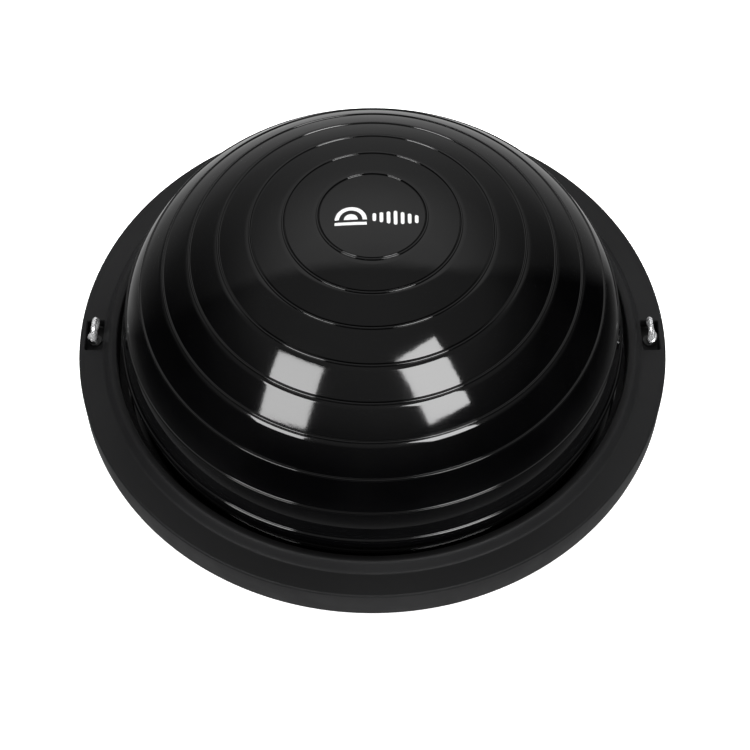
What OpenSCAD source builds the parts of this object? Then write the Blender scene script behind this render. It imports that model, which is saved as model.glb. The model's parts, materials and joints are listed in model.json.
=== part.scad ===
// Balance dome trainer: an inflatable dome with concentric grip ribs, clamped into
// a round moulded base that carries two swivelling eyes for exercise bands.
// Millimetres. +Z is up, the feet stand on Z = 0, and the eyes are on the X axis.

/* [Dome] */
// Radius of the dome at its widest ring
dome_r = 252; // [246:1:253]
// Height of the widest ring above the floor
equator_z = 57; // [54:1:60]
// Radius of curvature of the crown
crown_r = 299; // [290:1:320]
// Radius of curvature of the shoulder
shoulder_r = 117.2; // [110:0.1:122]
// Thickness of the dome's skin
skin_t = 3; // [2:0.1:3.5]
// Number of ribs above the foot rib
rib_count = 8; // [3:1:8]
// Distance over the skin from the top to the first rib
first_rib_s = 52.2; // [40:0.1:54]
// Spacing of the ribs near the top
rib_pitch = 33.3; // [30:0.1:33.5]
// How much the spacing grows from rib to rib
rib_growth = 0.22; // [0:0.01:0.25]
// Width of a rib at its foot
rib_w = 3; // [2:0.1:4]
// Height of a rib above the skin
rib_h = 1.2; // [0.6:0.1:1.8]

/* [Base] */
// Outer diameter of the base
base_d = 600; // [600:1:610]
// Height of the flat outer rim above the floor
rim_z = 37; // [37:0.5:39]
// Height of the raised lip above the floor
lip_z = 46; // [44:0.5:48]
// Inner radius of the lip, around the dome
lip_r = 260; // [259:0.5:261]
// Width of the slope between the flat rim and the lip's crest
slope_w = 14.5; // [12:0.5:16]
// Wall thickness of the moulded base
wall_t = 3; // [2.5:0.1:3]
// Radius of the base's top outer edge
edge_r = 2.5; // [1:0.1:2.9]

/* [Band eyes] */
// Distance of each eye from the centre
eye_x = 285; // [284:0.5:285.5]
// Wire diameter of an eye
wire_d = 5; // [4:0.1:5.4]
// Radius of an eye's ring, to the middle of the wire
ring_r = 10.3; // [9:0.1:11]
// Height of the ring's centre above the floor
ring_z = 47; // [46:0.5:49]
// Thread diameter of the eye's shank
thread_d = 6; // [5:0.1:6]
// How far the left eye is turned about its shank
left_eye_turn = 170; // [0:1:359]
// How far the right eye is turned about its shank
right_eye_turn = 356; // [0:1:359]
// Length of a pocket along the rim
pocket_l = 37; // [34:1:38]
// Width of a pocket across the rim
pocket_w = 18; // [16:1:18]
// Depth of a pocket below the flat rim
pocket_depth = 11; // [8:0.5:11]

/* [Feet and grips] */
// Radius of a foot
foot_r = 14; // [10:1:15]
// Angle that each finger grip spans around the base
grip_angle = 22; // [16:1:24]

/* [Hidden] */
$fn = 96;

// Clearances
running_gap = 0.05;
loose_gap = 0.1;
cut = 0.5;

// Base shell and the plate that closes it, above the gap that the feet leave
foot_h = 3;
base_r = base_d / 2;
plate_z = foot_h;
plate_t = wall_t;
plate_top_z = plate_z + plate_t;
plate_edge_gap = 0.6;
rim_under_z = rim_z - wall_t;
slope_r = lip_r + edge_r;
flat_r = slope_r + slope_w;
slope_steps = 12;
arc_steps = 6;

// Clamped foot of the dome, from the bladder's floor up to the rim's ledge
floor_t = 2.5;
flange_z = 17;
flange_t = 3;
flange_top_z = flange_z + flange_t;
flange_r = 267;
ledge_r = 254;
ledge_t = 3;
clamp_t = 4;
clamp_z = flange_z - clamp_t;
clamp_in_r = 246;
clamp_out_r = 269;

// Dome profile: crown and shoulder arcs that meet tangentially
shoulder_c = dome_r - shoulder_r;
crown_z = equator_z - sqrt(pow(crown_r - shoulder_r, 2) - pow(shoulder_c, 2));
tangent_a = atan2(shoulder_c, equator_z - crown_z);
tangent_s = crown_r * tangent_a * PI / 180;
equator_s = tangent_s + shoulder_r * (90 - tangent_a) * PI / 180;
foot_drop = equator_z - flange_top_z;
end_s = equator_s + shoulder_r * asin(foot_drop / shoulder_r) * PI / 180;
inner_r = shoulder_r - skin_t;
inner_end_s = equator_s + shoulder_r * asin(foot_drop / inner_r) * PI / 180;
inner_foot_r = shoulder_c + inner_r * cos(asin(foot_drop / inner_r));
crest_w = rib_w / 3;
gap_steps = 5;
inner_steps = 36;
rib_s = concat(
    [for (k = [0:rib_count - 1]) first_rib_s + rib_pitch * k + rib_growth * k * k],
    [equator_s]
);

// Screws: M4 pan heads
screw_r = 2;
screw_hole_r = screw_r + running_gap;
head_r = 4;
head_h = 2.4;
screw_l = 14;
boss_r = 5;
clamp_screw_count = 12;
clamp_screw_r = 273;
clamp_screw_a = 15;
ear_r = 6;
plate_screw_count = 8;
plate_screw_r = 285;
plate_screw_a = 22.5;
seat_t = 3;
seat_r = 7;
seat_top_z = plate_top_z + seat_t;

// Stiffening ribs on the plate
web_t = 4;
web_count = 12;
web_root_z = plate_top_z - plate_t / 2;
web_top_z = flange_z;
web_radii = [34, 120, 180, 240];
clamp_web_r = 251;

// Shallow grip grooves in the plate's underside, which is stood on when it is turned over
groove_count = 6;
groove_first_r = 52;
groove_pitch = 34;
groove_w = 4;
groove_depth = 0.8;

// Feet
foot_count = 8;
foot_circle_r = 262;
foot_a = 22.5;
foot_stem_r = 5;
foot_stem_h = 5;
foot_round = 1;

// Finger grips
grip_gap = 1;
grip_in_r = 271;
grip_out_r = base_r - wall_t - grip_gap;
grip_wall = 2;
grip_top_z = rim_under_z - grip_gap;
grip_end_a = 0.5;
grip_slot_a = grip_angle + 0.05;

// Eyes, their pockets and fasteners
thread_r = thread_d / 2;
wire_r = wire_d / 2;
neck_swell = 0.3;
neck_r = wire_r + neck_swell;
pocket_floor_z = rim_z - pocket_depth;
cup_wall = 1.8;
cup_floor_t = 3;
cup_under_z = pocket_floor_z - cup_floor_t;
cup_tab_l = 8;
cup_tab_t = 2.5;
pocket_corner_r = 2;
collar_r = 6.5;
collar_h = 2;
collar_z = pocket_floor_z + loose_gap;
wrap_bite = 0.4;
wrap_r = wire_r + neck_r - wrap_bite;
wrap_angle = 250;
wrap_start = -130;
wrap_tilt = 9;
wrap_lift = 1.1;
wrap_z = collar_z + collar_h + wire_r + wrap_lift;
washer_r = 6.25;
washer_t = 1.5;
washer_z = cup_under_z - loose_gap - washer_t;
nut_h = 6;
nut_af = 10;
nut_z = washer_z - nut_h;
shank_past_nut = 2;
shank_end_z = nut_z - shank_past_nut;

// Inflation valve in the bladder's floor
valve_flange_r = 18;
valve_flange_t = 1.5;
valve_barrel_r = 8;
valve_bottom_z = 8;
valve_bore_r = 4;
valve_top_z = flange_z + floor_t + valve_flange_t;
access_r = 20;
plug_r = valve_bore_r - running_gap;
plug_stem_l = 10;
plug_flange_r = 7;
plug_flange_t = 1.5;
plug_tab_w = 10;
plug_tab_t = 2.5;
plug_tab_h = 2.5;

// Colours
pvc_black = [0.03, 0.03, 0.03];
abs_black = [0.09, 0.09, 0.09];
rubber_black = [0.05, 0.05, 0.05];
steel = [0.75, 0.76, 0.78];

// Point on the dome's profile at arc length s from the top, d outside the skin
function dome_point(s, d) =
    s < tangent_s
    ? let (a = s / crown_r * 180 / PI)
      [(crown_r + d) * sin(a), crown_z + (crown_r + d) * cos(a)]
    : let (a = tangent_a + (s - tangent_s) / shoulder_r * 180 / PI)
      [shoulder_c + (shoulder_r + d) * sin(a), equator_z + (shoulder_r + d) * cos(a)];

// Skin between two ribs, with gap 0 at the top of the dome
function gap_points(i) =
    let (a = i == 0 ? 0 : rib_s[i - 1] + rib_w / 2)
    let (b = i == len(rib_s) ? end_s : rib_s[i] - rib_w / 2)
    [for (j = [0:gap_steps]) dome_point(a + (b - a) * j / gap_steps, 0)];

// Crest of rib i
function rib_points(i) =
    i < len(rib_s) ? [for (side = [-1, 1]) dome_point(rib_s[i] + side * crest_w / 2, rib_h)] : [];

function arc_points(cx, cy, r, a0, a1) =
    [for (j = [0:arc_steps]) let (a = a0 + (a1 - a0) * j / arc_steps) [cx + r * cos(a), cy + r * sin(a)]];

// Height of the smooth slope between the flat rim (t = 0) and the lip (t = 1)
function slope_rise(t) = (lip_z - rim_z) * (1 - cos(180 * t)) / 2;

module ring_of(count, radius, first_angle) {
    for (i = [0:count - 1])
        rotate([0, 0, first_angle + 360 / count * i])
            translate([radius, 0, 0])
                children();
}

module tube(r_out, r_in, z0, z1) {
    translate([0, 0, z0])
        difference() {
            cylinder(r = r_out, h = z1 - z0);
            translate([0, 0, -cut])
                cylinder(r = r_in, h = z1 - z0 + 2 * cut);
        }
}

module sector(r_in, r_out, z0, z1, angle) {
    rotate([0, 0, -angle / 2])
        rotate_extrude(angle = angle)
            translate([r_in, z0])
                square([r_out - r_in, z1 - z0]);
}

module rounded_slot(w, l, r, z0, z1) {
    translate([-w / 2, -l / 2 + r, z0])
        cube([w, l - 2 * r, z1 - z0]);
    translate([-w / 2 + r, -l / 2, z0])
        cube([w - 2 * r, l, z1 - z0]);
    for (x = [-1, 1], y = [-1, 1])
        translate([x * (w / 2 - r), y * (l / 2 - r), z0])
            cylinder(r = r, h = z1 - z0);
}

module dome_skin() {
    outer = [for (i = [0:len(rib_s)]) each concat(gap_points(i), rib_points(i))];
    flange = [
        [flange_r, flange_top_z],
        [flange_r, flange_z],
        [inner_foot_r, flange_z]
    ];
    inner = [for (j = [inner_steps:-1:0]) dome_point(inner_end_s * j / inner_steps, -skin_t)];
    color(pvc_black)
        rotate_extrude()
            polygon(concat(outer, flange, inner));
}

module bladder_floor() {
    color(pvc_black)
        tube(inner_foot_r - loose_gap, valve_barrel_r + running_gap, flange_z, flange_z + floor_t);
}

module valve_body() {
    color(rubber_black)
        difference() {
            union() {
                translate([0, 0, valve_bottom_z])
                    cylinder(r = valve_barrel_r, h = valve_top_z - valve_bottom_z);
                translate([0, 0, valve_top_z - valve_flange_t])
                    cylinder(r = valve_flange_r, h = valve_flange_t);
            }
            translate([0, 0, valve_bottom_z - cut])
                cylinder(r = valve_bore_r, h = valve_top_z - valve_bottom_z + 2 * cut);
        }
}

module valve_plug() {
    color(rubber_black) {
        translate([0, 0, valve_bottom_z - plug_flange_t])
            cylinder(r = plug_flange_r, h = plug_flange_t);
        translate([0, 0, valve_bottom_z - plug_flange_t / 2])
            cylinder(r = plug_r, h = plug_stem_l + plug_flange_t / 2);
        translate([-plug_tab_w / 2, -plug_tab_t / 2, valve_bottom_z - plug_flange_t - plug_tab_h])
            cube([plug_tab_w, plug_tab_t, plug_tab_h + plug_flange_t / 2]);
    }
}

module rim_shell() {
    outside = concat(
        [[base_r, plate_z]],
        arc_points(base_r - edge_r, rim_z - edge_r, edge_r, 0, 90),
        [for (j = [0:slope_steps]) let (t = j / slope_steps) [flat_r - slope_w * t, rim_z + slope_rise(t)]],
        arc_points(slope_r, lip_z - edge_r, edge_r, 90, 180)
    );
    ledge = [
        [lip_r, flange_top_z + ledge_t],
        [ledge_r, flange_top_z + ledge_t],
        [ledge_r, flange_top_z],
        [lip_r + wall_t, flange_top_z]
    ];
    inside_run = flat_r - lip_r - wall_t;
    inside = [
        for (j = [slope_steps:-1:0])
            let (t = j / slope_steps)
            [flat_r - inside_run * t, rim_under_z + slope_rise(t)]
    ];
    wall = [[base_r - wall_t, rim_under_z], [base_r - wall_t, plate_z]];
    rotate_extrude()
        polygon(concat(outside, ledge, inside, wall));
}

module base_rim() {
    clamp_boss_h = rim_under_z - flange_z + wall_t / 2;
    plate_boss_h = rim_under_z - seat_top_z + wall_t / 2;
    color(abs_black)
        difference() {
            union() {
                rim_shell();
                ring_of(clamp_screw_count, clamp_screw_r, clamp_screw_a)
                    translate([0, 0, flange_z])
                        cylinder(r = boss_r, h = clamp_boss_h);
                ring_of(plate_screw_count, plate_screw_r, plate_screw_a)
                    translate([0, 0, seat_top_z])
                        cylinder(r = boss_r, h = plate_boss_h);
            }
            ring_of(clamp_screw_count, clamp_screw_r, clamp_screw_a)
                translate([0, 0, flange_z - cut])
                    cylinder(r = screw_hole_r, h = screw_l);
            ring_of(plate_screw_count, plate_screw_r, plate_screw_a)
                translate([0, 0, seat_top_z - cut])
                    cylinder(r = screw_hole_r, h = screw_l);
            for (side = [-1, 1])
                translate([side * eye_x, 0, 0])
                    rounded_slot(pocket_w, pocket_l, pocket_corner_r, rim_under_z - cut, rim_z + cut);
        }
}

module base_plate() {
    plate_r = base_r - wall_t - plate_edge_gap;
    color(abs_black)
        difference() {
            union() {
                translate([0, 0, plate_z])
                    cylinder(r = plate_r, h = plate_t);
                for (r = web_radii)
                    tube(r, r - web_t, web_root_z, web_top_z);
                tube(clamp_web_r, clamp_web_r - web_t, web_root_z, clamp_z);
                for (i = [0:web_count - 1])
                    rotate([0, 0, 360 / web_count * i])
                        translate([web_radii[0] - web_t / 2, -web_t / 2, web_root_z])
                            cube([web_radii[3] - web_radii[0], web_t, web_top_z - web_root_z]);
                ring_of(plate_screw_count, plate_screw_r, plate_screw_a)
                    translate([0, 0, plate_z])
                        cylinder(r = seat_r, h = seat_top_z - plate_z);
            }
            translate([0, 0, plate_z - cut])
                cylinder(r = access_r, h = plate_t + 2 * cut);
            for (i = [0:groove_count - 1])
                let (r = groove_first_r + groove_pitch * i)
                    tube(r + groove_w, r, plate_z - cut, plate_z + groove_depth);
            ring_of(foot_count, foot_circle_r, foot_a)
                translate([0, 0, plate_z - cut])
                    cylinder(r = foot_stem_r + loose_gap, h = plate_t + 2 * cut);
            ring_of(plate_screw_count, plate_screw_r, plate_screw_a) {
                translate([0, 0, plate_z - cut])
                    cylinder(r = head_r + loose_gap, h = plate_t + cut);
                translate([0, 0, plate_z])
                    cylinder(r = screw_hole_r + loose_gap, h = seat_top_z);
            }
            for (a = [-90, 90])
                rotate([0, 0, a])
                    sector(
                        grip_in_r - loose_gap,
                        grip_out_r + loose_gap,
                        plate_z - cut,
                        plate_top_z + cut,
                        grip_slot_a
                    );
        }
}

module clamp_ring() {
    color(abs_black)
        translate([0, 0, clamp_z])
            linear_extrude(clamp_t)
                difference() {
                    union() {
                        circle(r = clamp_out_r);
                        ring_of(clamp_screw_count, clamp_screw_r, clamp_screw_a)
                            circle(r = ear_r);
                    }
                    circle(r = clamp_in_r);
                    ring_of(clamp_screw_count, clamp_screw_r, clamp_screw_a)
                        circle(r = screw_hole_r);
                }
}

// Pan-head screw that points up, with the underside of its head at z
module screw(z, length) {
    translate([0, 0, z - head_h])
        cylinder(r = head_r, h = head_h);
    translate([0, 0, z - head_h / 2])
        cylinder(r = screw_r, h = length + head_h / 2);
}

module clamp_screws() {
    color(steel)
        ring_of(clamp_screw_count, clamp_screw_r, clamp_screw_a)
            screw(clamp_z, screw_l);
}

module plate_screws() {
    color(steel)
        ring_of(plate_screw_count, plate_screw_r, plate_screw_a)
            screw(plate_top_z, screw_l);
}

module grip_cup(facing) {
    color(abs_black)
        rotate([0, 0, facing])
            difference() {
                sector(grip_in_r, grip_out_r, plate_z, grip_top_z, grip_angle);
                sector(
                    grip_in_r + grip_wall,
                    grip_out_r - grip_wall,
                    plate_z - cut,
                    grip_top_z - grip_wall,
                    grip_angle - 2 * grip_end_a
                );
            }
}

module hook_cup(side) {
    cup_w = pocket_w + 2 * cup_wall;
    cup_l = pocket_l + 2 * cup_wall;
    color(abs_black)
        translate([side * eye_x, 0, 0])
            difference() {
                union() {
                    translate([-cup_w / 2, -cup_l / 2, cup_under_z])
                        cube([cup_w, cup_l, rim_under_z - cup_under_z]);
                    translate([-pocket_w / 2, -cup_l / 2 - cup_tab_l, rim_under_z - cup_tab_t])
                        cube([pocket_w - cup_wall, cup_l + 2 * cup_tab_l, cup_tab_t]);
                }
                rounded_slot(pocket_w, pocket_l, pocket_corner_r, pocket_floor_z, rim_under_z + cut);
                translate([0, 0, cup_under_z - cut])
                    cylinder(r = thread_r + running_gap, h = cup_floor_t + 2 * cut);
            }
}

// Wire ring on a neck that the wire's end wraps around, over a collar and a shank
module eye(side, turn) {
    color(steel)
        translate([side * eye_x, 0, 0])
            rotate([0, 0, turn]) {
                translate([0, 0, ring_z])
                    rotate([0, 90, 0])
                        rotate_extrude()
                            translate([ring_r, 0])
                                circle(r = wire_r);
                translate([0, 0, collar_z + collar_h / 2])
                    cylinder(r = neck_r, h = ring_z - ring_r - collar_z - collar_h / 2);
                translate([0, 0, wrap_z])
                    rotate([0, wrap_tilt, wrap_start])
                        rotate_extrude(angle = wrap_angle)
                            translate([wrap_r, 0])
                                circle(r = wire_r);
                translate([0, 0, collar_z])
                    cylinder(r = collar_r, h = collar_h);
                translate([0, 0, shank_end_z])
                    cylinder(r = thread_r, h = collar_z + collar_h / 2 - shank_end_z);
            }
}

module eye_washer(side) {
    color(steel)
        translate([side * eye_x, 0, 0])
            tube(washer_r, thread_r + running_gap, washer_z, washer_z + washer_t);
}

module eye_nut(side) {
    color(steel)
        translate([side * eye_x, 0, nut_z])
            difference() {
                cylinder(r = nut_af / 2 / cos(30), h = nut_h, $fn = 6);
                translate([0, 0, -cut])
                    cylinder(r = thread_r + running_gap, h = nut_h + 2 * cut);
            }
}

// Foot i of the ring, with a stem that is pushed into the base plate
module foot(i) {
    outline = concat(
        [[0, 0], [foot_r - foot_round, 0]],
        arc_points(foot_r - foot_round, foot_round, foot_round, -90, 0),
        [[foot_r, foot_h], [foot_stem_r, foot_h]],
        [[foot_stem_r, foot_h + foot_stem_h], [0, foot_h + foot_stem_h]]
    );
    color(rubber_black)
        rotate([0, 0, foot_a + 360 / foot_count * (i - 1)])
            translate([foot_circle_r, 0, 0])
                rotate_extrude()
                    polygon(outline);
}

dome_skin();
bladder_floor();
valve_body();
valve_plug();
base_rim();
base_plate();
clamp_ring();
clamp_screws();
plate_screws();
grip_cup(-90);  // front_grip_cup
grip_cup(90);  // rear_grip_cup
hook_cup(-1);  // left_hook_cup
hook_cup(1);  // right_hook_cup
eye(-1, left_eye_turn);  // left_eye
eye(1, right_eye_turn);  // right_eye
eye_washer(-1);  // left_eye_washer
eye_washer(1);  // right_eye_washer
eye_nut(-1);  // left_eye_nut
eye_nut(1);  // right_eye_nut
foot(1);  // foot_1
foot(2);  // foot_2
foot(3);  // foot_3
foot(4);  // foot_4
foot(5);  // foot_5
foot(6);  // foot_6
foot(7);  // foot_7
foot(8);  // foot_8
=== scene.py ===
"""Looks of the balance dome trainer: gloss PVC dome, satin moulded base, bright wire eyes."""
import math

import bmesh
import bpy
from mathutils import Matrix, Vector
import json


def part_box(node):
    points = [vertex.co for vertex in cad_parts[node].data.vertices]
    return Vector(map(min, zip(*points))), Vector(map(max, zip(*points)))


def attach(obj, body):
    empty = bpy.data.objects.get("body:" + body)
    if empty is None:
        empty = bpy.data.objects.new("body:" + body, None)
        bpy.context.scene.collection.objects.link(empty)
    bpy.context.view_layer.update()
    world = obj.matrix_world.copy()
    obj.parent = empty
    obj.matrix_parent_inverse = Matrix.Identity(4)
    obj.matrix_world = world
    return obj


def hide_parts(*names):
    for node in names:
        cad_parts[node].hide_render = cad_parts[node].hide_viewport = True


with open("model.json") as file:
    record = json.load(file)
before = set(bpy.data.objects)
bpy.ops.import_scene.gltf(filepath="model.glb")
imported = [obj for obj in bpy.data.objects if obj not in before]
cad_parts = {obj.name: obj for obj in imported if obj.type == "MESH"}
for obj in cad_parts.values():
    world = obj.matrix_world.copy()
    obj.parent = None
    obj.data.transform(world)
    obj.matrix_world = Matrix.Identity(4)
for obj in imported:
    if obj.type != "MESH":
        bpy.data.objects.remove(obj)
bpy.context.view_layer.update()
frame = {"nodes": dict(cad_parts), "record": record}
MM = 0.001

# ---------------------------------------------------------------- driving sizes in metres
# Dome, base and eye sizes are as in the CAD model. Ribs, bead, lip fall and eye turns are set for the look.
DOME_R = 252 * MM
EQUATOR_Z = 57 * MM
CROWN_R = 299 * MM
SHOULDER_R = 117.2 * MM
SKIN_T = 3 * MM
RIB_W = 2.2 * MM
RIB_H = 1.1 * MM
RIB_GROOVE_W = 1.4 * MM
RIB_GROOVE_D = 0.6 * MM
RIB_SQUARENESS = 2.5
RIB_COUNT = 8
FIRST_RIB_S = 52.2 * MM
RIB_PITCH = 33.3 * MM
RIB_GROWTH = 0.22 * MM
BEAD_W = 5.5 * MM
BEAD_H = 2.4 * MM
BEAD_SQUARENESS = 2
RIM_Z = 37 * MM
LIP_Z = 46 * MM
LIP_R = 260 * MM
SLOPE_W = 14.5 * MM
SLOPE_SHARE = 0.72
LIP_FALL = 0.6 * MM
EDGE_R = 2.5 * MM
LIP_EDGE_R = 2.5 * MM
WALL_T = 3 * MM
LEDGE_R = 254 * MM
POCKET_L = 37 * MM
POCKET_W = 18 * MM
POCKET_CORNER_R = 2 * MM
POCKET_FLOOR_T = 3 * MM
WIRE_R = 2.5 * MM
RING_R = 10.3 * MM
RING_Z = 47 * MM
EYE_TURN = {"left": math.radians(176), "right": math.radians(0)}

BASE_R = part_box("base_rim")[1].x
PLATE_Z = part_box("base_rim")[0].z
FLANGE_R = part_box("dome_skin")[1].x
FLANGE_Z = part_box("dome_skin")[0].z
FLANGE_T = 3 * MM
EYE_X = {side: sum(corner.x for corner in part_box(side + "_eye_washer")) / 2 for side in ("left", "right")}

LATHE_STEPS = 384

# Dome profile: crown and shoulder arcs that meet tangentially
SHOULDER_C = DOME_R - SHOULDER_R
CROWN_Z = EQUATOR_Z - math.sqrt((CROWN_R - SHOULDER_R) ** 2 - SHOULDER_C ** 2)
TANGENT_A = math.atan2(SHOULDER_C, EQUATOR_Z - CROWN_Z)
TANGENT_S = CROWN_R * TANGENT_A
EQUATOR_S = TANGENT_S + SHOULDER_R * (math.pi / 2 - TANGENT_A)
FOOT_DROP = EQUATOR_Z - FLANGE_Z - FLANGE_T
RIB_S = [FIRST_RIB_S + RIB_PITCH * k + RIB_GROWTH * k * k for k in range(RIB_COUNT)]


def dome_point(s, d=0.0):
    """(r, z) on the dome's profile at arc length s from the top, d outside the skin."""
    if s < TANGENT_S:
        a = s / CROWN_R
        return (CROWN_R + d) * math.sin(a), CROWN_Z + (CROWN_R + d) * math.cos(a)
    a = TANGENT_A + (s - TANGENT_S) / SHOULDER_R
    return SHOULDER_C + (SHOULDER_R + d) * math.sin(a), EQUATOR_Z + (SHOULDER_R + d) * math.cos(a)


# ---------------------------------------------------------------- mesh helpers
def make_piece(name, verts, faces, body, material, replaces=(), sharp_angle=35):
    """A closed mesh piece that rides on a body, shaded smooth except at edges sharper than the angle."""
    mesh = bpy.data.meshes.new(name)
    mesh.from_pydata([tuple(v) for v in verts], [], faces)
    mesh.validate()
    tidy = bmesh.new()
    tidy.from_mesh(mesh)
    bmesh.ops.recalc_face_normals(tidy, faces=tidy.faces)
    tidy.to_mesh(mesh)
    tidy.free()
    mesh.polygons.foreach_set("use_smooth", [True] * len(mesh.polygons))
    mesh.set_sharp_from_angle(angle=math.radians(sharp_angle))
    piece = bpy.data.objects.new(name, mesh)
    bpy.context.scene.collection.objects.link(piece)
    mesh.materials.append(material)
    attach(piece, body)
    if replaces:
        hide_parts(*replaces)
    return piece


def lathe(profile, steps=LATHE_STEPS, centre=(0.0, 0.0)):
    """Vertices and faces of a closed profile turned about Z. Points with r = 0 become poles."""
    verts, faces, rows = [], [], []
    for r, z in profile:
        if r < 1e-9:
            rows.append([len(verts)])
            verts.append((centre[0], centre[1], z))
            continue
        rows.append(range(len(verts), len(verts) + steps))
        for k in range(steps):
            a = 2 * math.pi * k / steps
            verts.append((centre[0] + r * math.cos(a), centre[1] + r * math.sin(a), z))
    for i, row in enumerate(rows):
        after = rows[(i + 1) % len(rows)]
        if len(row) == 1 and len(after) == 1:
            continue
        for k in range(steps):
            n = (k + 1) % steps
            if len(row) == 1:
                faces.append((row[0], after[k], after[n]))
            elif len(after) == 1:
                faces.append((row[k], after[0], row[n]))
            else:
                faces.append((row[k], after[k], after[n], row[n]))
    return verts, faces


def arc(cx, cz, r, a0, a1, steps=8):
    """Points on a circle in the (r, z) plane, from angle a0 to a1 in degrees."""
    angles = [math.radians(a0 + (a1 - a0) * i / steps) for i in range(steps + 1)]
    return [(cx + r * math.cos(a), cz + r * math.sin(a)) for a in angles]


def sweep(points, radius, sides=20):
    """A round bar along points, closed at both ends."""
    verts, faces = [], []
    points = [Vector(p) for p in points]
    tangents = []
    for i in range(len(points)):
        tangents.append((points[min(i + 1, len(points) - 1)] - points[max(i - 1, 0)]).normalized())
    side = tangents[0].orthogonal().normalized()
    for p, t in zip(points, tangents):
        side = (side - t * side.dot(t)).normalized()
        other = t.cross(side)
        for k in range(sides):
            a = 2 * math.pi * k / sides
            verts.append(p + (side * math.cos(a) + other * math.sin(a)) * radius)
    for i in range(len(points) - 1):
        for k in range(sides):
            n = (k + 1) % sides
            faces.append((i * sides + k, i * sides + n, (i + 1) * sides + n, (i + 1) * sides + k))
    faces.append(tuple(range(sides)))
    faces.append(tuple((len(points) - 1) * sides + k for k in range(sides)))
    return verts, faces


def join(*shapes):
    """One vertex and face list from several."""
    verts, faces = [], []
    for v, f in shapes:
        faces += [tuple(i + len(verts) for i in face) for face in f]
        verts += list(v)
    return verts, faces


# ---------------------------------------------------------------- material helpers
class Shader:
    """A Principled material that is put together node by node."""

    def __init__(self, name, **sockets):
        self.material = bpy.data.materials.new(name)
        self.material.use_nodes = True
        self.tree = self.material.node_tree
        self.principled = self.tree.nodes["Principled BSDF"]
        for socket, value in sockets.items():
            self.principled.inputs[socket.replace("_", " ")].default_value = value
        self.coordinates = self.tree.nodes.new("ShaderNodeTexCoord").outputs["Object"]

    def add(self, kind, inputs=None, **settings):
        made = self.tree.nodes.new("ShaderNode" + kind)
        for key, value in settings.items():
            setattr(made, key, value)
        for key, value in (inputs or {}).items():
            self.plug(value, made.inputs[key])
        return made

    def plug(self, value, socket):
        if isinstance(value, bpy.types.NodeSocket):
            self.tree.links.new(value, socket)
        else:
            socket.default_value = value

    def noise(self, scale, detail=4.0, roughness=0.5, stretch=(1, 1, 1)):
        mapping = self.add("Mapping", {"Vector": self.coordinates, "Scale": stretch})
        inputs = {"Vector": mapping.outputs[0], "Scale": scale, "Detail": detail, "Roughness": roughness}
        return self.add("TexNoise", inputs).outputs["Fac"]

    def spread(self, value, low, high, start=0.3, end=0.7):
        """Value between start and end of an input, mapped to low and high."""
        inputs = {"Value": value, "From Min": start, "From Max": end, "To Min": low, "To Max": high}
        return self.add("MapRange", inputs).outputs[0]

    def maths(self, operation, a, b=0.0):
        return self.add("Math", {0: a, 1: b}, operation=operation).outputs[0]

    def blend_colours(self, factor, a, b):
        made = self.add("Mix", data_type="RGBA")
        self.plug(factor, made.inputs[0])
        self.plug(a, made.inputs[6])
        self.plug(b, made.inputs[7])
        return made.outputs[2]

    def bump(self, height, distance, strength=1.0, under=None):
        inputs = {"Height": height, "Distance": distance, "Strength": strength}
        if under is not None:
            inputs["Normal"] = under
        return self.add("Bump", inputs).outputs[0]

    def finish(self, colour=None, roughness=None, normal=None):
        for value, socket in ((colour, "Base Color"), (roughness, "Roughness"), (normal, "Normal")):
            if value is not None:
                self.plug(value, self.principled.inputs[socket])
        return self.material


def gloss_pvc():
    """Calendered black PVC: high gloss with slow waves, a faint film of dust and handling haze."""
    shader = Shader("gloss_pvc", Specular_IOR_Level=0.5)
    smudge = shader.noise(9.0, 3.0)
    dust = shader.noise(1400.0, 2.0)
    film = shader.spread(smudge, 0.0, 1.0, 0.45, 0.75)
    colour = shader.blend_colours(film, (0.0006, 0.0006, 0.0007, 1), (0.0014, 0.0014, 0.0015, 1))
    speck = shader.spread(dust, 0.0, 1.0, 0.76, 0.82)
    colour = shader.blend_colours(speck, colour, (0.008, 0.008, 0.008, 1))
    haze = shader.spread(smudge, 0.05, 0.085)
    roughness = shader.maths("ADD", haze, shader.maths("MULTIPLY", speck, 0.25))
    waves = shader.bump(shader.noise(7.0, 1.0), 0.0022, 0.35)
    skin = shader.bump(shader.noise(120.0, 2.0), 0.00006, 0.4, waves)
    return shader.finish(colour, roughness, skin)


def satin_abs(name="satin_abs"):
    """Spark-eroded black moulding: fine even grain, slight tone changes, dust in the grain."""
    shader = Shader(name, Specular_IOR_Level=0.15)
    grain = shader.noise(2600.0, 2.0, 0.6)
    tone = shader.noise(6.0, 3.0)
    dark, light, dust = (0.0065, 0.0065, 0.0068, 1), (0.009, 0.009, 0.0093, 1), (0.016, 0.016, 0.016, 1)
    colour = shader.blend_colours(shader.spread(tone, 0, 1), dark, light)
    colour = shader.blend_colours(shader.spread(grain, 0.0, 0.5, 0.6, 0.8), colour, dust)
    roughness = shader.spread(shader.noise(35.0, 4.0), 0.46, 0.56)
    normal = shader.bump(grain, 0.00012, 0.5)
    return shader.finish(colour, roughness, normal)


def foot_rubber():
    """Matt black rubber with a dusty bloom."""
    shader = Shader("foot_rubber", Specular_IOR_Level=0.35)
    bloom = shader.spread(shader.noise(160.0, 4.0), 0.0, 1.0)
    colour = shader.blend_colours(bloom, (0.010, 0.010, 0.010, 1), (0.028, 0.028, 0.027, 1))
    roughness = shader.spread(bloom, 0.62, 0.8, 0, 1)
    return shader.finish(colour, roughness, shader.bump(shader.noise(900.0), 0.0002, 0.4))


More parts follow.
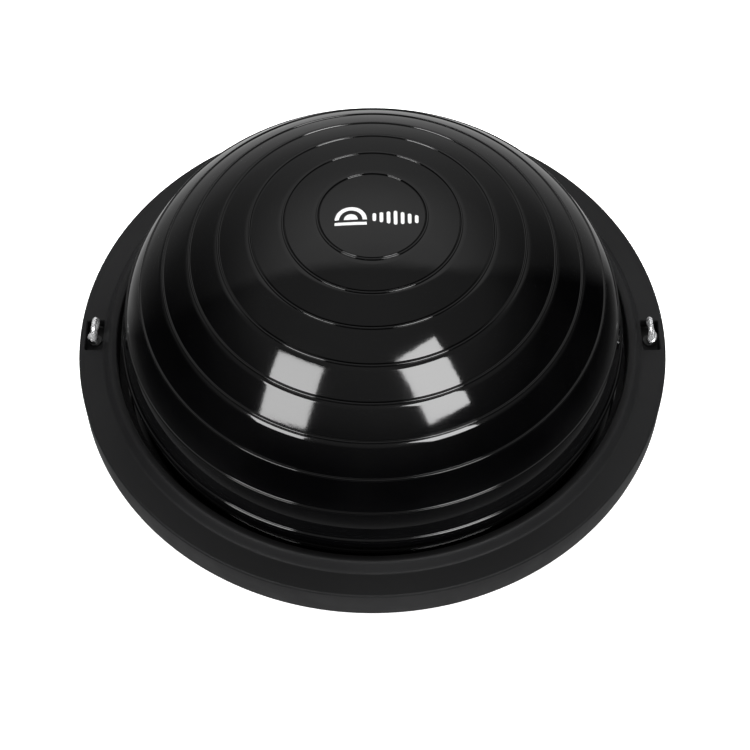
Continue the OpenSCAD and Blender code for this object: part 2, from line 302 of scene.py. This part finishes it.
def plated_wire():
    """Bright zinc plate on drawn wire: fine draw lines and slight clouding."""
    shader = Shader("plated_wire", Metallic=0.78)
    cloud = shader.noise(260.0, 3.0)
    colour = shader.blend_colours(shader.spread(cloud, 0, 1), (0.82, 0.83, 0.84, 1), (0.93, 0.93, 0.94, 1))
    roughness = shader.spread(cloud, 0.2, 0.3)
    return shader.finish(colour, roughness, shader.bump(shader.noise(1300.0, 3.0), 0.00003, 0.3))


def cloudy_metal(name, dark, light):
    """Duller metal finish with cloudy spots, from dark to light grey: zinc plate, or a near-black copy for
    the eye collars whose darkness is painted shade.
    """
    shader = Shader(name, Metallic=1.0)
    cloud = shader.noise(420.0, 4.0)
    colour = shader.blend_colours(shader.spread(cloud, 0, 1), (dark, dark, dark, 1), (light, light, light, 1))
    roughness = shader.spread(cloud, 0.3, 0.48)
    return shader.finish(colour, roughness, shader.bump(shader.noise(1800.0), 0.00005, 0.4))


def white_print():
    """Screen-printed white ink: slightly uneven and a little rough."""
    shader = Shader("white_print", Specular_IOR_Level=0.4)
    patch = shader.noise(700.0, 3.0)
    colour = shader.blend_colours(shader.spread(patch, 0, 1), (0.72, 0.72, 0.72, 1), (0.86, 0.86, 0.86, 1))
    return shader.finish(colour, shader.spread(patch, 0.35, 0.5), shader.bump(patch, 0.00003, 0.3))


PVC = gloss_pvc()
ABS = satin_abs()
RUBBER = foot_rubber()
WIRE = plated_wire()
ZINC = cloudy_metal("zinc_plate", 0.36, 0.6)
# Near-black metal for the eye collars: painted shade, standing in for the dark that the collars reflect down
# in their pockets.
COLLAR_SHADE_METAL = cloudy_metal("collar_painted_shade_metal", 0.03, 0.07)
INK = white_print()


# ---------------------------------------------------------------- dome
def moulded_ring(middle, width, height, squareness):
    """Outline across a raised ring on the skin, with a shallow groove along its upper foot."""
    groove_steps, ring_steps = 4, 12
    outline = []
    for i in range(groove_steps):
        t = i / groove_steps
        x = -width / 2 - RIB_GROOVE_W * (1 - t)
        outline.append(dome_point(middle + x, -RIB_GROOVE_D * math.sin(math.pi * t)))
    for i in range(ring_steps + 1):
        t = -math.cos(math.pi * i / ring_steps)
        rise = height * max(1 - abs(t) ** squareness, 0.0) ** (1 / squareness)
        outline.append(dome_point(middle + width / 2 * t, rise))
    return outline


def dome_outline():
    """Outside of the dome from the top to its flange, with the ribs and the bead at its widest place."""
    gap_steps = 7
    rings = [(s, RIB_W, RIB_H, RIB_SQUARENESS) for s in RIB_S]
    rings.append((EQUATOR_S, BEAD_W, BEAD_H, BEAD_SQUARENESS))
    end = EQUATOR_S + SHOULDER_R * math.asin(FOOT_DROP / SHOULDER_R)
    points, last = [], 0.0
    for middle, width, height, squareness in rings:
        start = middle - width / 2 - RIB_GROOVE_W
        points += [dome_point(last + (start - last) * i / gap_steps) for i in range(gap_steps)]
        points += moulded_ring(middle, width, height, squareness)
        last = middle + width / 2
    return points + [dome_point(last + (end - last) * i / gap_steps) for i in range(1, gap_steps + 1)]


def build_dome():
    """The air-filled skin with its flange, hollow inside."""
    inner_r = SHOULDER_R - SKIN_T
    inner_end = EQUATOR_S + SHOULDER_R * math.asin(FOOT_DROP / inner_r)
    inner_steps = 24
    inner = [dome_point(inner_end * i / inner_steps, -SKIN_T) for i in range(inner_steps, -1, -1)]
    foot_r = inner[0][0]
    flange = [(FLANGE_R, FLANGE_Z + FLANGE_T), (FLANGE_R, FLANGE_Z), (foot_r, FLANGE_Z)]
    verts, faces = lathe(dome_outline() + flange + inner)
    dome = make_piece("dome_shell", verts, faces, "base", PVC, ("dome_skin",), 50)


# ---------------------------------------------------------------- printed mark
def dome_surface(x, y, d):
    """Point on the crown above (x, y), d outside the skin."""
    r = math.hypot(x, y)
    rise = math.sqrt((CROWN_R + d) ** 2 - r * r)
    return x, y, CROWN_Z + rise


def printed_patch(place, nu, nv):
    """A thin closed patch of ink on the crown. place(u, v) gives (x, y) for u and v from 0 to 1."""
    ink_top, ink_under = 0.12 * MM, -0.05 * MM
    verts, faces = [], []
    for d in (ink_top, ink_under):
        for i in range(nu + 1):
            verts += [dome_surface(*place(i / nu, j / nv), d) for j in range(nv + 1)]
    row, layer = nv + 1, (nu + 1) * (nv + 1)
    for i in range(nu):
        for j in range(nv):
            a = i * row + j
            faces.append((a, a + 1, a + row + 1, a + row))
            faces.append((layer + a, layer + a + row, layer + a + row + 1, layer + a + 1))
    edge = [i * row for i in range(nu)] + [nu * row + j for j in range(nv)]
    edge += [i * row + nv for i in range(nu, 0, -1)] + [j for j in range(nv, 0, -1)]
    for k, a in enumerate(edge):
        b = edge[(k + 1) % len(edge)]
        faces.append((a, b, layer + b, layer + a))
    return verts, faces


def pill(cx, cy, half_w, half_l):
    """Outline function of an upright bar with round ends."""
    def place(u, v):
        y = -half_l + 2 * half_l * u
        past = max(abs(y) - (half_l - half_w), 0.0)
        width = math.sqrt(max(half_w ** 2 - past ** 2, (0.12 * half_w) ** 2))
        return cx + width * (2 * v - 1), cy + y
    return place


def build_print():
    """A plain pictogram of a dome on its base, beside a row of bars."""
    arch_x, arch_y, arch_r, arch_t = -20 * MM, -8 * MM, 15 * MM, 4 * MM
    bar_count, bar_pitch, bar_x = 7, 6.6 * MM, 2 * MM

    def arch(u, v):
        a, r = math.pi * u, arch_r - arch_t * v
        return arch_x + r * math.cos(a), arch_y + r * math.sin(a)

    def cap(u, v):
        a, r = math.pi * u, 6.5 * MM * v + 0.4 * MM * (1 - v)
        return arch_x + r * math.cos(a), arch_y + r * math.sin(a)

    def foot(u, v):
        return arch_x + arch_r * (2 * u - 1), arch_y - 3 * MM - 3.2 * MM * v

    shapes = [printed_patch(arch, 40, 2), printed_patch(cap, 24, 3), printed_patch(foot, 16, 1)]
    for k in range(bar_count):
        lift = 1 - abs(k - (bar_count - 1) / 2) / bar_count
        half_l = 8.2 * MM * lift
        shapes.append(printed_patch(pill(bar_x + bar_pitch * k, -5.5 * MM, 1.7 * MM, half_l), 24, 2))
    verts, faces = join(*shapes)
    make_piece("printed_mark", verts, faces, "base", INK)


# ---------------------------------------------------------------- base
def slope_rise(t):
    """Rise above the flat rim, from t = 0 at the slope's foot to t = 1 at the lip, falling a little there."""
    fall = LIP_FALL * max((t - SLOPE_SHARE) / (1 - SLOPE_SHARE), 0.0) ** 2
    return (LIP_Z - RIM_Z) * (1 - math.cos(math.pi * min(t / SLOPE_SHARE, 1.0))) / 2 - fall


def rim_outline():
    """Closed section of the base shell: wall, flat rim, slope, lip, ledge, and back inside."""
    slope_steps = 24
    slope_r = LIP_R + LIP_EDGE_R
    flat_r = slope_r + SLOPE_W
    toe = 0.8 * MM
    points = arc(BASE_R - toe, PLATE_Z + toe, toe, -90, 0, 4)
    points += arc(BASE_R - EDGE_R, RIM_Z - EDGE_R, EDGE_R, 0, 90)
    for i in range(slope_steps):
        t = i / slope_steps
        points.append((flat_r - SLOPE_W * t, RIM_Z + slope_rise(t)))
    points += arc(slope_r, LIP_Z - LIP_FALL - LIP_EDGE_R, LIP_EDGE_R, 90, 180)
    ledge_z = FLANGE_Z + FLANGE_T
    points += [(LIP_R, ledge_z + WALL_T), (LEDGE_R, ledge_z + WALL_T)]
    points += [(LEDGE_R, ledge_z), (LIP_R + WALL_T, ledge_z)]
    run = flat_r - LIP_R - WALL_T
    for i in range(slope_steps, -1, -1):
        t = i / slope_steps
        points.append((flat_r - run * t, RIM_Z - WALL_T + slope_rise(t)))
    points += [(BASE_R - WALL_T, RIM_Z - WALL_T), (BASE_R - WALL_T, PLATE_Z)]
    return points


def slot_ring(half_w, half_l, corner, z, steps=6):
    """Rounded rectangle at height z, its corners turned in equal steps."""
    ring = []
    for cx, cy, start in ((1, 1, 0), (-1, 1, 90), (-1, -1, 180), (1, -1, 270)):
        for i in range(steps + 1):
            a = math.radians(start + 90 * i / steps)
            x = cx * (half_w - corner) + corner * math.cos(a)
            y = cy * (half_l - corner) + corner * math.sin(a)
            ring.append((x, y, z))
    return ring


def loft(rings, closed=False):
    """Joins rings of equal length. An open loft is capped at both ends."""
    size = len(rings[0])
    verts = [v for ring in rings for v in ring]
    faces = []
    for i in range(len(rings) if closed else len(rings) - 1):
        a, b = i * size, (i + 1) % len(rings) * size
        faces += [(a + k, a + (k + 1) % size, b + (k + 1) % size, b + k) for k in range(size)]
    if not closed:
        faces.append(tuple(range(size)))
        faces.append(tuple((len(rings) - 1) * size + k for k in range(size)))
    return verts, faces


def cut_out(piece, verts, faces):
    """Cuts a closed shape out of a piece."""
    mesh = bpy.data.meshes.new("cutter")
    mesh.from_pydata(verts, [], faces)
    tidy = bmesh.new()
    tidy.from_mesh(mesh)
    bmesh.ops.recalc_face_normals(tidy, faces=tidy.faces)
    tidy.to_mesh(mesh)
    tidy.free()
    cutter = bpy.data.objects.new("cutter", mesh)
    bpy.context.scene.collection.objects.link(cutter)
    modifier = piece.modifiers.new("cut", "BOOLEAN")
    modifier.operation = "DIFFERENCE"
    modifier.solver = "EXACT"
    modifier.object = cutter
    depsgraph = bpy.context.evaluated_depsgraph_get()
    result = bpy.data.meshes.new_from_object(piece.evaluated_get(depsgraph))
    piece.modifiers.remove(modifier)
    piece.data = result
    bpy.data.objects.remove(cutter)
    return piece


def build_rim():
    verts, faces = lathe(rim_outline())
    piece = make_piece("base_shell", verts, faces, "base", ABS, ("base_rim",), 40)
    chamfer, past = 0.7 * MM, 0.4 * MM
    for side in ("left", "right"):
        rings = []
        for grow, z in ((0, RIM_Z - WALL_T - 2 * MM), (0, RIM_Z - chamfer), (chamfer + past, RIM_Z + past)):
            ring = slot_ring(POCKET_W / 2 + grow, POCKET_L / 2 + grow, POCKET_CORNER_R + grow, z)
            rings.append([(x + EYE_X[side], y, z) for x, y, z in ring])
        cut_out(piece, *loft(rings))
    piece.data.set_sharp_from_angle(angle=math.radians(30))


# ---------------------------------------------------------------- band eyes
def smooth_path(points, steps=10):
    """Catmull-Rom curve through points."""
    points = [Vector(p) for p in points]
    ends = [points[0] * 2 - points[1]] + points + [points[-1] * 2 - points[-2]]
    path = []
    for i in range(1, len(ends) - 2):
        a, b, c, d = ends[i - 1:i + 3]
        for k in range(steps):
            t = k / steps
            bend = (2 * a - 5 * b + 4 * c - d) * t * t
            twist = (3 * b - a - 3 * c + d) * t ** 3
            path.append(0.5 * (2 * b + (c - a) * t + bend + twist))
    return path + [points[-1]]


def eye_wire(collar_top):
    """Centre line of the bent wire: up the neck, over the ring, down, and a third of a turn around the neck.
    """
    ring_foot = RING_Z - RING_R
    into_collar, above_collar = 1 * MM, 2 * MM
    neck_lean, neck_end = -0.4 * MM, 2.2 * MM
    points = [(0, 0, collar_top - into_collar), (0, 0, collar_top + above_collar)]
    points.append((0, neck_lean, ring_foot - neck_end))
    ring_steps = 15
    first, last = math.radians(242), math.radians(-72)
    ring_offset, offset_share = -2.2 * MM, 0.16
    last_lean, lean_share = 5 * MM, 0.22
    for i in range(ring_steps + 1):
        t = i / ring_steps
        a = first + (last - first) * t
        lean = ring_offset * min(t / offset_share, 1.0)
        lean += last_lean * max(0.0, t - (1 - lean_share)) / lean_share
        points.append((lean, RING_R * math.cos(a), RING_Z + RING_R * math.sin(a)))
    wrap_r, wrap_steps = 2.05 * WIRE_R, 12
    wrap_first, wrap_turn = 30, 118
    wrap_top, wrap_drop = ring_foot - 1.9 * MM, 4 * MM
    for i in range(1, wrap_steps + 1):
        t = i / wrap_steps
        a = math.radians(wrap_first - wrap_turn * t)
        points.append((wrap_r * math.cos(a), wrap_r * math.sin(a), wrap_top - wrap_drop * t))
    return smooth_path(points, 8)


def build_eye(side):
    """The bright bent wire with its shank, and the collar that it stands on, coloured near-black as painted
    shade.
    """
    node = side + "_eye"
    gap = 0.1 * MM
    collar_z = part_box(side + "_hook_cup")[0].z + POCKET_FLOOR_T + gap
    collar_r, collar_h, bevel = 6.5 * MM, 2 * MM, 0.4 * MM
    collar = [(0, collar_z)] + arc(collar_r - bevel, collar_z + bevel, bevel, -90, 0, 4)
    collar += arc(collar_r - bevel, collar_z + collar_h - bevel, bevel, 0, 90, 4)
    collar += [(0, collar_z + collar_h)]
    shank_r = 3 * MM
    shank_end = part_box(node)[0].z
    shank = [(0, collar_z + collar_h / 2), (shank_r, collar_z + collar_h / 2)]
    shank += [(shank_r, shank_end + bevel), (shank_r - bevel, shank_end), (0, shank_end)]
    wire = sweep(eye_wire(collar_z + collar_h), WIRE_R)
    turn = Matrix.Translation((EYE_X[side], 0, 0)) @ Matrix.Rotation(EYE_TURN[side], 4, "Z")
    verts, faces = join(wire, lathe(shank, 32))
    verts = [turn @ Vector(v) for v in verts]
    make_piece(side + "_wire_eye", verts, faces, node, WIRE, (node,), 40)
    verts, faces = lathe(collar, 48, (EYE_X[side], 0))
    # The collar's near-black metal colour is painted shade.
    make_piece(side + "_eye_collar", verts, faces, node, COLLAR_SHADE_METAL, (), 40)


# ---------------------------------------------------------------- pocket inserts
def build_hook_cup(side):
    """Moulded insert: a rounded pocket with a filleted floor, hung from two flanges under the rim."""
    node = side + "_hook_cup"
    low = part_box(node)[0]
    top_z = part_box(node)[1].z
    floor_z = low.z + POCKET_FLOOR_T
    wall, fillet, chamfer, hole_r = 1.8 * MM, 2.5 * MM, 0.6 * MM, 3.05 * MM
    half_w, half_l = POCKET_W / 2, POCKET_L / 2

    def around(grow, z):
        corner = max(POCKET_CORNER_R + grow, 0.3 * MM)
        return slot_ring(half_w + grow, half_l + grow, corner, z)

    def hole(r, z):
        return slot_ring(r, r, r, z)

    rings = [around(wall - chamfer, low.z), around(wall, low.z + chamfer)]
    rings += [around(wall, top_z), around(0, top_z)]
    fillet_steps = 5
    for i in range(fillet_steps + 1):
        a = math.radians(90 * i / fillet_steps)
        rings.append(around(-fillet * (1 - math.cos(a)), floor_z + fillet * (1 - math.sin(a))))
    rings += [hole(hole_r + chamfer, floor_z), hole(hole_r, floor_z - chamfer), hole(hole_r, low.z)]
    shapes = [loft(rings, closed=True)]
    tab_l = (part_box(node)[1].y - low.y) / 2 - half_l - wall
    tab_t, tab_half_w = 2.5 * MM, half_w - wall / 2
    for end in (-1, 1):
        centre_y = end * (half_l + wall + tab_l / 2)
        tab = []
        for shrink, z in ((0, top_z), (0, top_z - tab_t + chamfer), (chamfer, top_z - tab_t)):
            ring = slot_ring(tab_half_w - shrink, tab_l / 2, 1.2 * MM, z)
            tab.append([(x, y + centre_y, z) for x, y, z in ring])
        shapes.append(loft(tab))
    verts, faces = join(*shapes)
    verts = [(x + EYE_X[side], y, z) for x, y, z in verts]
    make_piece(side + "_pocket_insert", verts, faces, "base", ABS, (node,), 40)


# ---------------------------------------------------------------- underside details
def node_centre(node):
    low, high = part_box(node)
    return (low.x + high.x) / 2, (low.y + high.y) / 2


def build_foot(i):
    """Rubber foot with concentric tread grooves and a rounded edge, pushed in by its barbed stem."""
    node = "foot_%d" % i
    low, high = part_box(node)
    foot_r, foot_h, stem_r, edge = (high.x - low.x) / 2, PLATE_Z, 5 * MM, 1 * MM
    groove_w, groove_d, lean = 0.9 * MM, 0.6 * MM, 0.15 * MM
    dimple_r, dimple_d = 2 * MM, 0.5 * MM
    groove_count, first_groove_r, groove_pitch = 3, 4.2 * MM, 3 * MM
    profile = [(0, dimple_d), (0.8 * dimple_r, dimple_d), (dimple_r, 0)]
    for k in range(groove_count):
        r = first_groove_r + groove_pitch * k
        profile += [(r, 0), (r + lean, groove_d), (r + groove_w - lean, groove_d), (r + groove_w, 0)]
    profile += arc(foot_r - edge, edge, edge, -90, 0, 6)
    chamfer, barb = 0.3 * MM, 0.4 * MM
    profile += [(foot_r, foot_h - chamfer), (foot_r - chamfer, foot_h), (stem_r - barb, foot_h)]
    profile += [(stem_r - barb, high.z - 1.9 * MM), (stem_r, high.z - 1.7 * MM)]
    profile += [(stem_r - 1 * MM, high.z), (0, high.z)]
    verts, faces = lathe(profile, 64, node_centre(node))
    make_piece("foot_pad_%d" % i, verts, faces, "base", RUBBER, (node,), 30)


def cross_recess(z, depth, half_l, half_w):
    """Tapered cross that a screwdriver fits, as a closed shape that opens downwards at z."""
    rings = []
    for shrink, level in ((1.12, z - 0.5 * MM), (1.0, z), (0.55, z + depth)):
        l, w = half_l * shrink, half_w * (0.5 + 0.5 * shrink)
        ring = [(l, -w), (l, w), (w, w), (w, l), (-w, l), (-w, w)]
        ring += [(-l, w), (-l, -w), (-w, -w), (-w, -l), (w, -l), (w, -w)]
        rings.append([(x, y, level) for x, y in ring])
    return loft(rings)


def build_plate_screws():
    """Pan-head screws with cross recesses, up through the base plate."""
    node = "plate_screws"
    low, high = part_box(node)
    count, first_angle, circle_r, head_r, shank_r = 8, 22.5, 285 * MM, 4 * MM, 2 * MM
    head_z, seat_z, crown = low.z, low.z + 2.4 * MM, 1.5 * MM
    tip_w, tip_h = 0.8 * MM, 1 * MM
    driven_turn = 1.9
    profile = [(0, head_z)] + arc(head_r - crown, head_z + crown, crown, -90, 0, 8)
    profile += [(head_r, seat_z), (shank_r, seat_z)]
    profile += [(shank_r, high.z - tip_h), (shank_r - tip_w, high.z), (0, high.z)]
    verts, faces = lathe(profile, 40)
    screw = make_piece("plate_screw_set", verts, faces, "base", ZINC, (node,), 30)
    cut_out(screw, *cross_recess(head_z, 1.5 * MM, 2.1 * MM, 0.5 * MM))
    one = [v.co.copy() for v in screw.data.vertices]
    polygons = [tuple(polygon.vertices) for polygon in screw.data.polygons]
    shapes = []
    for k in range(count):
        a = math.radians(first_angle + 360 / count * k)
        place = Matrix.Rotation(a, 4, "Z") @ Matrix.Translation((circle_r, 0, 0))
        turn = place @ Matrix.Rotation(k * driven_turn, 4, "Z")
        shapes.append(([turn @ v for v in one], polygons))
    verts, faces = join(*shapes)
    mesh = bpy.data.meshes.new("plate_screw_set")
    mesh.from_pydata([tuple(v) for v in verts], [], faces)
    mesh.polygons.foreach_set("use_smooth", [True] * len(mesh.polygons))
    mesh.set_sharp_from_angle(angle=math.radians(30))
    mesh.materials.append(ZINC)
    screw.data = mesh


def build_valve_plug():
    """Soft plug: stem with sealing beads, a dished flange and a ribbed pull tab."""
    low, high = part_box("valve_plug")
    flange_r, flange_t, stem_r = 7 * MM, 1.5 * MM, 3.95 * MM
    tab_h, half_w, half_t = 2.5 * MM, 5 * MM, 1.25 * MM
    flange_z = low.z + tab_h
    seat_z = flange_z + flange_t
    edge = 0.6 * MM
    dish_r, dish_d = 5.1 * MM, 0.3 * MM
    profile = [(0, flange_z + dish_d), (dish_r - 0.6 * MM, flange_z + dish_d), (dish_r, flange_z)]
    profile += arc(flange_r - edge, flange_z + edge, edge, -90, 90, 8)[1:]
    bead_count, first_bead, bead_pitch, bead_h = 3, 2 * MM, 2.4 * MM, 0.3 * MM
    waist_r = stem_r - bead_h
    profile += [(waist_r, seat_z)]
    for k in range(bead_count):
        z = seat_z + first_bead + bead_pitch * k
        profile += [(waist_r, z - 0.7 * MM), (stem_r, z - 0.3 * MM)]
        profile += [(stem_r, z + 0.3 * MM), (waist_r, z + 0.7 * MM)]
    profile += [(waist_r, high.z - 1.2 * MM), (waist_r - 1 * MM, high.z), (0, high.z)]
    rings = []
    rib_steps, rib_depth = 14, 0.16
    tip_share, tip_taper = 0.18, 0.45
    into_flange = 0.5 * MM
    for i in range(rib_steps + 1):
        t = i / rib_steps
        swell = 1 - rib_depth * (i % 2) if 2 < i < rib_steps - 1 else 1
        round_off = 1 - tip_taper * max(0.0, (tip_share - t) / tip_share) ** 2
        z = low.z + (tab_h + into_flange) * t
        rings.append(slot_ring(half_w * round_off, half_t * swell * round_off, 0.5 * MM, z))
    verts, faces = join(lathe(profile, 56), loft(rings))
    make_piece("valve_pull_plug", verts, faces, "valve_plug", RUBBER, ("valve_plug",), 35)


# ---------------------------------------------------------------- CAD nodes that keep their shape
def repaint():
    by_slot = {
        "pvc_dome": PVC, "base_abs": ABS, "valve_rubber": RUBBER, "foot_rubber": RUBBER,
        "eye_steel": WIRE, "screw_steel": ZINC}
    for entry in frame["record"]["subparts"]:
        node = frame["nodes"][entry["node"]]
        node.data.materials.clear()
        node.data.materials.append(by_slot[entry["material_slot"]])


# ---------------------------------------------------------------- stage, lights, camera
def build_floor():
    shader = Shader("pale_floor", Roughness=0.9, Specular_IOR_Level=0.0, Emission_Strength=0.85)
    shader.principled.inputs["Emission Color"].default_value = (1, 1, 1, 1)
    tone = shader.spread(shader.noise(2.0, 3.0), 0, 1)
    material = shader.finish(shader.blend_colours(tone, (0.93, 0.93, 0.93, 1), (0.95, 0.95, 0.95, 1)))
    size = 30.0
    mesh = bpy.data.meshes.new("floor")
    corners = [(-size, -size, 0), (size, -size, 0), (size, size, 0), (-size, size, 0)]
    mesh.from_pydata(corners, [], [(0, 1, 2, 3)])
    mesh.materials.append(material)
    floor = bpy.data.objects.new("floor", mesh)
    bpy.context.scene.collection.objects.link(floor)
    floor.visible_glossy = False


def build_backdrop():
    """A pale shell far around the stage that only the camera sees."""
    material = bpy.data.materials.new("pale_backdrop")
    material.use_nodes = True
    shader = material.node_tree.nodes["Principled BSDF"]
    shader.inputs["Base Color"].default_value = (0, 0, 0, 1)
    shader.inputs["Specular IOR Level"].default_value = 0
    shader.inputs["Emission Color"].default_value = (1, 1, 1, 1)
    shader.inputs["Emission Strength"].default_value = 1
    shape = bmesh.new()
    bmesh.ops.create_icosphere(shape, subdivisions=3, radius=40)
    mesh = bpy.data.meshes.new("backdrop")
    shape.to_mesh(mesh)
    shape.free()
    mesh.materials.append(material)
    backdrop = bpy.data.objects.new("backdrop", mesh)
    bpy.context.scene.collection.objects.link(backdrop)
    backdrop.visible_glossy = False
    backdrop.visible_diffuse = False
    backdrop.visible_shadow = False


def area_light(name, centre, target, up, size, watts, reflected):
    """A rectangular lamp at centre that faces target. It is either seen in gloss or lights matt surfaces."""
    lamp = bpy.data.lights.new(name, "AREA")
    lamp.shape = "RECTANGLE"
    lamp.size, lamp.size_y = size
    lamp.energy = watts
    holder = bpy.data.objects.new(name, lamp)
    bpy.context.scene.collection.objects.link(holder)
    back = (Vector(centre) - Vector(target)).normalized()
    side = Vector(up).cross(back).normalized()
    turn = Matrix((side, back.cross(side), back)).transposed()
    holder.matrix_world = Matrix.Translation(centre) @ turn.to_4x4()
    holder.visible_camera = False
    holder.visible_glossy = reflected
    holder.visible_diffuse = not reflected
    return holder


def build_lights():
    aim = (0, -0.16, 0.18)
    area_light("left_softbox", (-0.825, -0.844, 1.204), aim, (0.267, 0.704, 0.658), (0.54, 0.67), 12.9, True)
    area_light("right_softbox", (0.625, -0.810, 1.330), aim, (-0.46, 0.655, 0.60), (0.51, 0.785), 16.2, True)
    area_light("rear_fill", (0, 1.6, 1.25), (0, 0.1, 0), (0, 0, 1), (2.4, 1.0), 62, False)
    area_light("left_fill", (-1.7, 0.5, 0.6), (0, 0, 0), (0, 0, 1), (1.2, 0.7), 26, False)
    area_light("right_fill", (1.7, 0.5, 0.6), (0, 0, 0), (0, 0, 1), (1.2, 0.7), 26, False)
    area_light("front_fill", (0, -2.4, 0.4), (0, 0, 0.02), (0, 0, 1), (3.0, 0.6), 114, False)


def ramp(tree, value, stops):
    """Grey levels along a value that runs from -1 to 1."""
    unit = tree.nodes.new("ShaderNodeMapRange")
    unit.inputs["From Min"].default_value = -1
    tree.links.new(value, unit.inputs["Value"])
    made = tree.nodes.new("ShaderNodeValToRGB")
    tree.links.new(unit.outputs[0], made.inputs[0])
    elements = made.color_ramp.elements
    while len(elements) > 1:
        elements.remove(elements[-1])
    for i, (at, grey) in enumerate(stops):
        stop = elements[0] if i == 0 else elements.new((at + 1) / 2)
        stop.position = (at + 1) / 2
        stop.color = (grey, grey, grey, 1)
    return made.outputs[0]


def build_world():
    """A studio that is dark behind the camera and lit softly behind and above the object."""
    world = bpy.data.worlds.new("studio")
    bpy.context.scene.world = world
    world.use_nodes = True
    tree = world.node_tree

    def maths(operation, a, b):
        made = tree.nodes.new("ShaderNodeMath")
        made.operation = operation
        for value, socket in ((a, made.inputs[0]), (b, made.inputs[1])):
            if isinstance(value, bpy.types.NodeSocket):
                tree.links.new(value, socket)
            else:
                socket.default_value = value
        return made.outputs[0]

    direction = tree.nodes.new("ShaderNodeTexCoord").outputs["Generated"]
    split = tree.nodes.new("ShaderNodeSeparateXYZ")
    tree.links.new(direction, split.inputs[0])
    x, y, z = split.outputs["X"], split.outputs["Y"], split.outputs["Z"]
    dark_side = ramp(tree, z, [
        (-0.9, 0.5), (-0.75, 0.4), (-0.55, 0.1), (-0.4, 0.03), (-0.15, 0.0), (0.2, 0.0),
        (0.4, 0.018), (0.6, 0.09), (0.75, 0.21), (0.9, 0.25), (1, 0.3)])
    bright_side = ramp(tree, z, [
        (-0.9, 0.9), (-0.7, 0.65), (-0.5, 0.58), (-0.3, 0.42), (-0.1, 0.34), (0.1, 0.26), (0.3, 0.3),
        (0.45, 0.37), (0.58, 0.52), (0.7, 0.71), (0.82, 0.85), (0.9, 0.8), (0.97, 0.66), (1, 0.5)])
    fade_to_sides, edge_tilt, edge_skew = 1.1, 0.268, 0.13
    side_fade = maths("SUBTRACT", 1.0, maths("MULTIPLY", maths("MULTIPLY", x, x), fade_to_sides))
    tilted = maths("ADD", y, maths("MULTIPLY", z, edge_tilt))
    tilted = maths("SUBTRACT", tilted, maths("MULTIPLY", x, edge_skew))
    edge = maths("MULTIPLY", ramp(tree, y, [(0.24, 0), (0.31, 1)]), ramp(tree, tilted, [(0.4, 0), (0.49, 1)]))
    mix = tree.nodes.new("ShaderNodeMix")
    mix.data_type = "RGBA"
    tree.links.new(edge, mix.inputs[0])
    tree.links.new(dark_side, mix.inputs[6])
    tree.links.new(maths("MULTIPLY", bright_side, side_fade), mix.inputs[7])
    tree.links.new(mix.outputs[2], tree.nodes["Background"].inputs["Color"])


def build_camera():
    data = bpy.data.cameras.new("camera")
    data.sensor_width = 36
    data.lens = 85.9
    data.clip_end = 100
    holder = bpy.data.objects.new("camera", data)
    bpy.context.scene.collection.objects.link(holder)
    holder.location = (0.0026, -1.06606, 1.53236)
    holder.rotation_euler = (math.radians(34.202), 0, 0)
    bpy.context.scene.camera = holder


repaint()
build_dome()
build_print()
build_rim()
for eye_side in ("left", "right"):
    build_eye(eye_side)
    build_hook_cup(eye_side)
for foot_number in range(1, 9):
    build_foot(foot_number)
build_plate_screws()
build_valve_plug()
build_floor()
build_backdrop()
build_lights()
build_world()
build_camera()
bpy.context.scene.view_settings.view_transform = "Standard"
